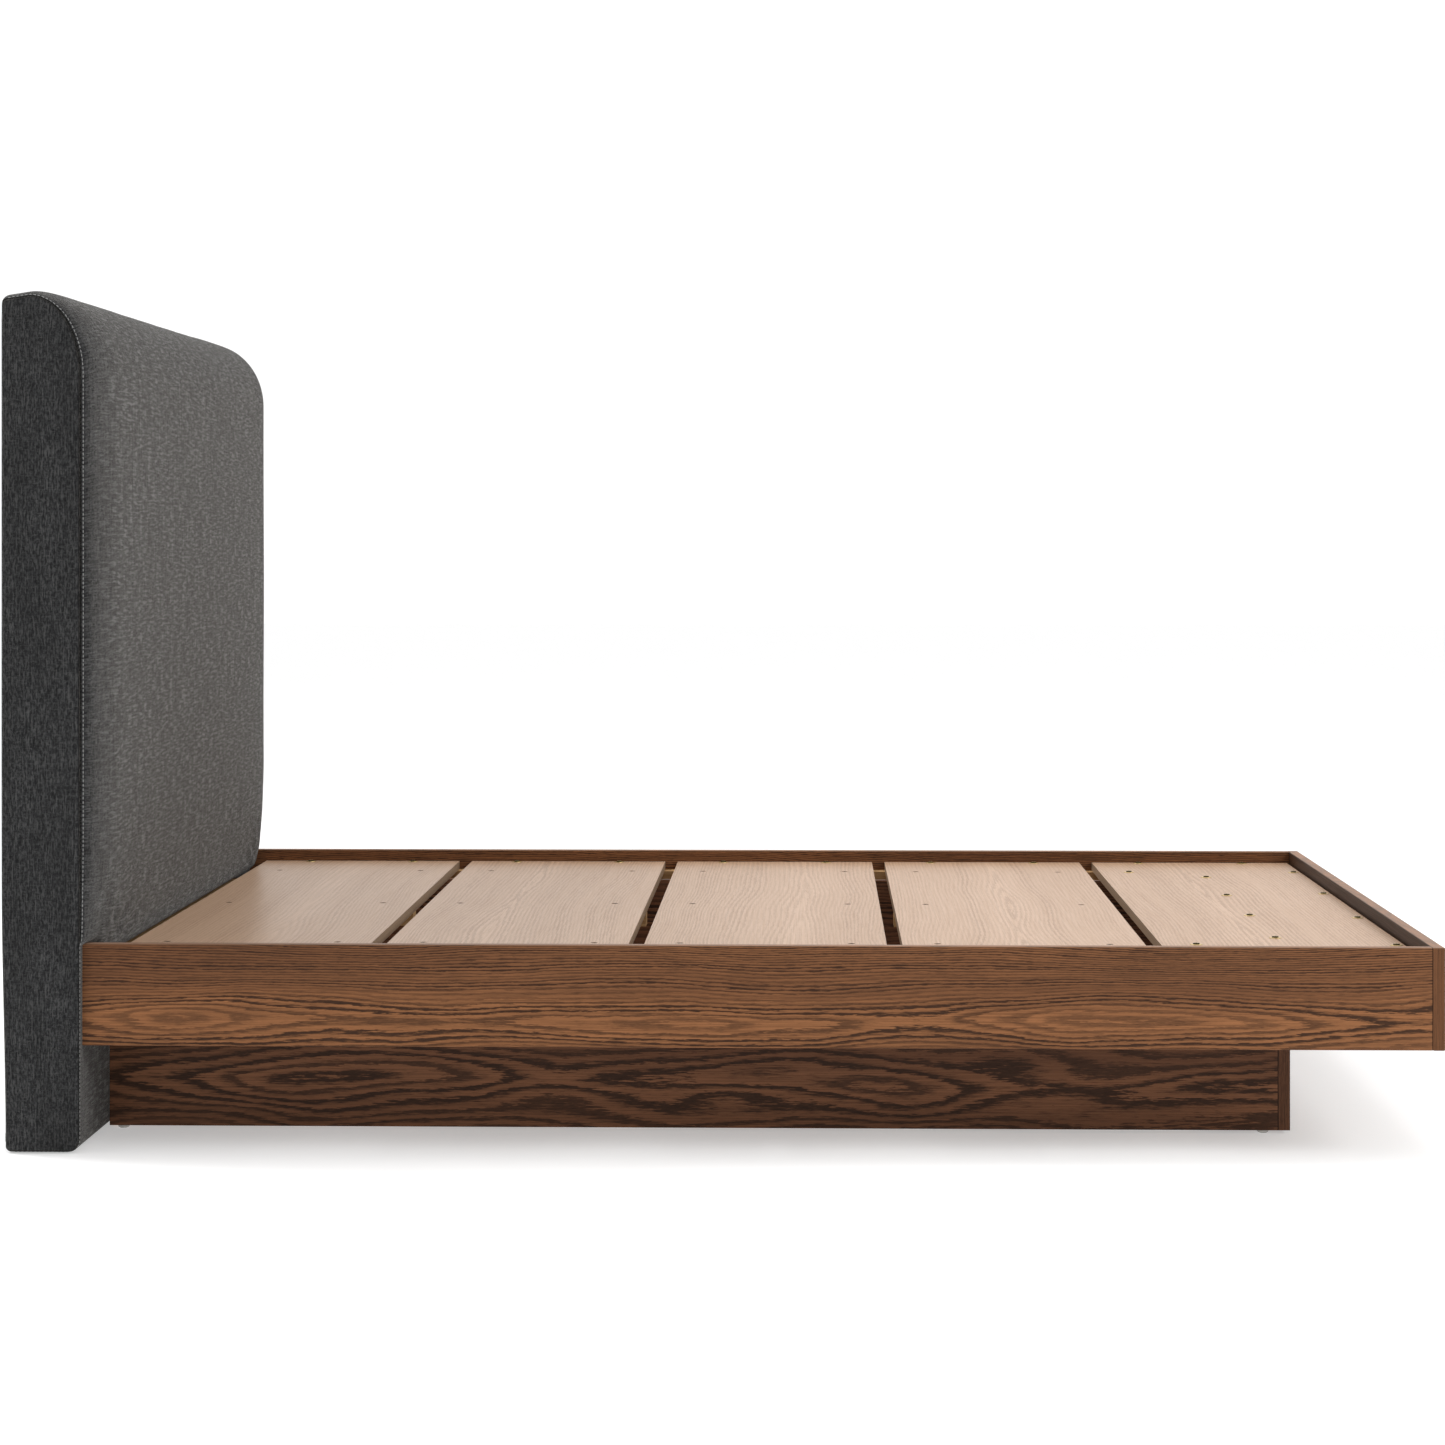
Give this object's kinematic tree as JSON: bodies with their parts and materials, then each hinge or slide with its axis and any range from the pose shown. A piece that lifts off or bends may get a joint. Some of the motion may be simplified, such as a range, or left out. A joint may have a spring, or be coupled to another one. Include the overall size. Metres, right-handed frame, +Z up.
{
  "type": "platform bed",
  "caption": "Low platform bed with a tall upholstered headboard, thin stained-ash rails, a pale slatted panel deck and a recessed plinth on levelling feet.",
  "frame": {"origin": "on the floor, under the middle of the bed's overall box", "axes": "+Z up, +Y along the bed towards the headboard, +X to the right as seen from the foot end"},
  "size_m": [1.64, 2.208, 1.3265],
  "materials": {
    "stained_ash": "satin lacquer over walnut-brown stain",
    "pale_veneer": "matt sealed",
    "pine": "raw, planed",
    "plywood": "raw, sanded",
    "headboard_fabric": "woven melange",
    "lining_fabric": "thin non-woven lining",
    "foam": "open-cell foam",
    "yellow_zinc": "yellow zinc plated",
    "dark_steel": "black oxide",
    "zinc_steel": "zinc plated",
    "grey_nylon": "moulded nylon"
  },
  "bodies": {
    "bed": {"batten_1": "pine", "batten_2": "pine", "batten_3": "pine", "batten_4": "pine", "bracket_left": "zinc_steel", "bracket_right": "zinc_steel", "bracket_screws": "dark_steel", "centre_leg_1": "pine", "centre_leg_2": "pine", "centre_leg_3": "pine", "centre_leg_4": "pine", "cleat_foot": "pine", "cleat_left": "pine", "cleat_right": "pine", "countersunk_screws": "dark_steel", "deck_panel_1": "pale_veneer", "deck_panel_2": "pale_veneer", "deck_panel_3": "pale_veneer", "deck_panel_4": "pale_veneer", "deck_panel_5": "pale_veneer", "foot_rail": "stained_ash", "headboard_back_cover": "lining_fabric", "headboard_bolts": "dark_steel", "headboard_bottom_rail": "pine", "headboard_centre_stile": "pine", "headboard_front_board": "plywood", "headboard_front_cover": "headboard_fabric", "headboard_front_foam": "foam", "headboard_glides": "grey_nylon", "headboard_inserts": "zinc_steel", "headboard_middle_rail": "pine", "headboard_side_cover_left": "headboard_fabric", "headboard_side_cover_right": "headboard_fabric", "headboard_side_foam_left": "foam", "headboard_side_foam_right": "foam", "headboard_stile_left": "pine", "headboard_stile_right": "pine", "headboard_top_foam": "foam", "headboard_top_rail": "pine", "leg_bolts": "dark_steel", "leveller_inserts": "zinc_steel", "plinth_corner_blocks": "pine", "plinth_dowels": "pine", "plinth_foot_board": "stained_ash", "plinth_head_board": "pine", "plinth_side_left": "stained_ash", "plinth_side_right": "stained_ash", "rail_corner_blocks": "pine", "rail_dowels": "pine", "side_rail_left": "stained_ash", "side_rail_right": "stained_ash", "wafer_head_screws": "yellow_zinc"},
    "foot_at_centre_1": {"levelling_foot_centre_1": "grey_nylon"},
    "foot_at_centre_2": {"levelling_foot_centre_2": "grey_nylon"},
    "foot_at_centre_3": {"levelling_foot_centre_3": "grey_nylon"},
    "foot_at_centre_4": {"levelling_foot_centre_4": "grey_nylon"},
    "foot_at_foot_left": {"levelling_foot_foot_left": "grey_nylon"},
    "foot_at_foot_right": {"levelling_foot_foot_right": "grey_nylon"},
    "foot_at_head_left": {"levelling_foot_head_left": "grey_nylon"},
    "foot_at_head_right": {"levelling_foot_head_right": "grey_nylon"}
  },
  "joints": [
    {"name": "level_centre_1", "type": "slide", "parent": "bed", "child": "foot_at_centre_1", "axis": [0, 0, -1], "range_m": [0, 0.012]},
    {"name": "level_centre_2", "type": "slide", "parent": "bed", "child": "foot_at_centre_2", "axis": [0, 0, -1], "range_m": [0, 0.012]},
    {"name": "level_centre_3", "type": "slide", "parent": "bed", "child": "foot_at_centre_3", "axis": [0, 0, -1], "range_m": [0, 0.012]},
    {"name": "level_centre_4", "type": "slide", "parent": "bed", "child": "foot_at_centre_4", "axis": [0, 0, -1], "range_m": [0, 0.012]},
    {"name": "level_foot_left", "type": "slide", "parent": "bed", "child": "foot_at_foot_left", "axis": [0, 0, -1], "range_m": [0, 0.012]},
    {"name": "level_foot_right", "type": "slide", "parent": "bed", "child": "foot_at_foot_right", "axis": [0, 0, -1], "range_m": [0, 0.012]},
    {"name": "level_head_left", "type": "slide", "parent": "bed", "child": "foot_at_head_left", "axis": [0, 0, -1], "range_m": [0, 0.012]},
    {"name": "level_head_right", "type": "slide", "parent": "bed", "child": "foot_at_head_right", "axis": [0, 0, -1], "range_m": [0, 0.012]}
  ]
}
